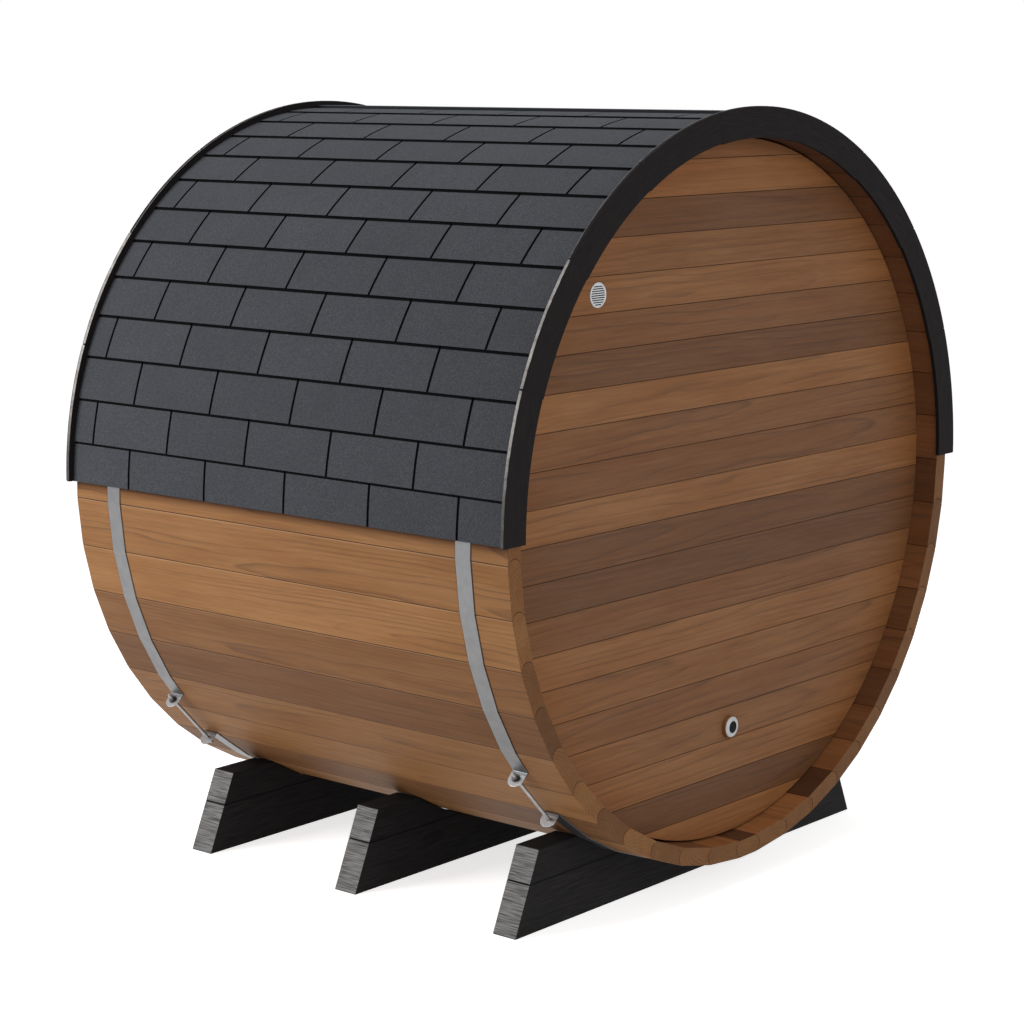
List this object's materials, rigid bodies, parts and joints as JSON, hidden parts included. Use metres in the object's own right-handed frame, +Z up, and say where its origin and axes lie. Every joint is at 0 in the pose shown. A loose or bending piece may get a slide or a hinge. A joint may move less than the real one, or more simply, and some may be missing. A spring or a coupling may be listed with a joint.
{
  "type": "barrel sauna",
  "caption": "Round wooden barrel sauna of beaded staves with steel bands, boarded end walls, shingle roof cap and stacked-beam cradles, lying on its side.",
  "frame": {"origin": "middle of the footprint on the ground plane, under the cradles", "axes": "+Z up; Y along the barrel, the end with the vent looks towards -Y; X across the barrel"},
  "size_m": [2.114, 1.632, 2.161],
  "materials": {
    "staves": "oiled heat-treated softwood",
    "wall_boards": "stained lapped boards",
    "fascia": "painted black, edges worn",
    "bands": "brushed stainless",
    "fasteners": "dull zinc",
    "shingles": "mineral-faced bitumen, slate grey",
    "cradles": "black stain, rough sawn",
    "vent": "satin",
    "pale_plastic": "matte",
    "black_rubber": "matte"
  },
  "bodies": {
    "root": {"stave_bottom": "staves", "stave_closing": "staves", "staves_left_odd": "staves", "staves_left_even": "staves", "staves_right_odd": "staves", "staves_right_even": "staves", "vent_wall_boards_odd": "wall_boards", "vent_wall_boards_even": "wall_boards", "plain_wall_boards_odd": "wall_boards", "plain_wall_boards_even": "wall_boards", "fascia_vent_end_odd": "fascia", "fascia_vent_end_even": "fascia", "fascia_plain_end_odd": "fascia", "fascia_plain_end_even": "fascia", "band_vent_end": "bands", "band_plain_end": "bands", "tension_rods": "fasteners", "tension_nuts": "fasteners", "shingles_left_odd": "shingles", "shingles_left_even": "shingles", "shingles_right_odd": "shingles", "shingles_right_even": "shingles", "shingles_ridge": "shingles", "cradle_vent_end_lower": "cradles", "cradle_vent_end_upper": "cradles", "cradle_middle_lower": "cradles", "cradle_middle_upper": "cradles", "cradle_plain_end_lower": "cradles", "cradle_plain_end_upper": "cradles", "vent": "vent", "cable_entry_collar": "wall_boards", "cable_entry_rim": "pale_plastic", "cable_entry_plug": "black_rubber"}
  },
  "joints": []
}
